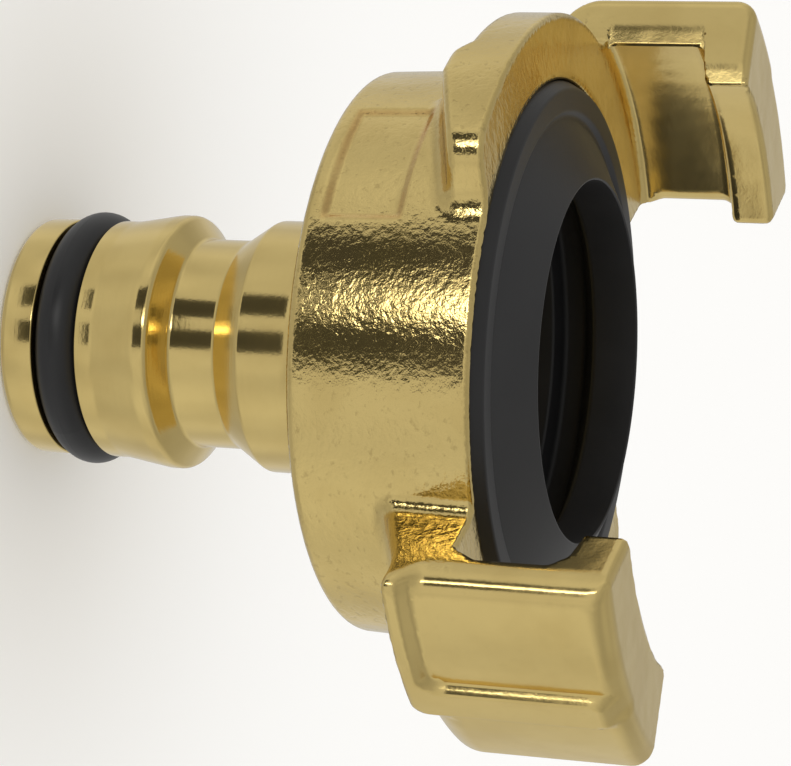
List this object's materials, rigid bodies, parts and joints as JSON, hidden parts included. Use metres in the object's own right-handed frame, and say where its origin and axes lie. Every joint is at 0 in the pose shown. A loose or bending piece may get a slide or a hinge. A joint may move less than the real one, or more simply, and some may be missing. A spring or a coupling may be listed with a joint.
{
  "type": "quick connect hose adapter",
  "caption": "Brass claw coupling half with a rubber face seal and a turned plug nipple with an O-ring, for joining a claw-coupled hose to a click-on hose connector.",
  "frame": {"origin": "on the water way's axis, in the plane of the nipple's nose, which is the lowest plane of the part", "axes": "+Z along the water way from the nipple's nose to the coupling face and claws, +X through the middle of the first claw, +Y a quarter turn round towards that claw's own flange"},
  "size_m": [0.0532, 0.0446, 0.0461],
  "materials": {
    "forged_brass": "fine as-forged skin on the body and claws, turned and bright on the nipple",
    "seal_rubber": "moulded, satin black",
    "ring_rubber": "moulded, satin black"
  },
  "bodies": {
    "root": {"coupling_body": "forged_brass", "face_seal": "seal_rubber", "plug_o_ring": "ring_rubber"}
  },
  "joints": []
}
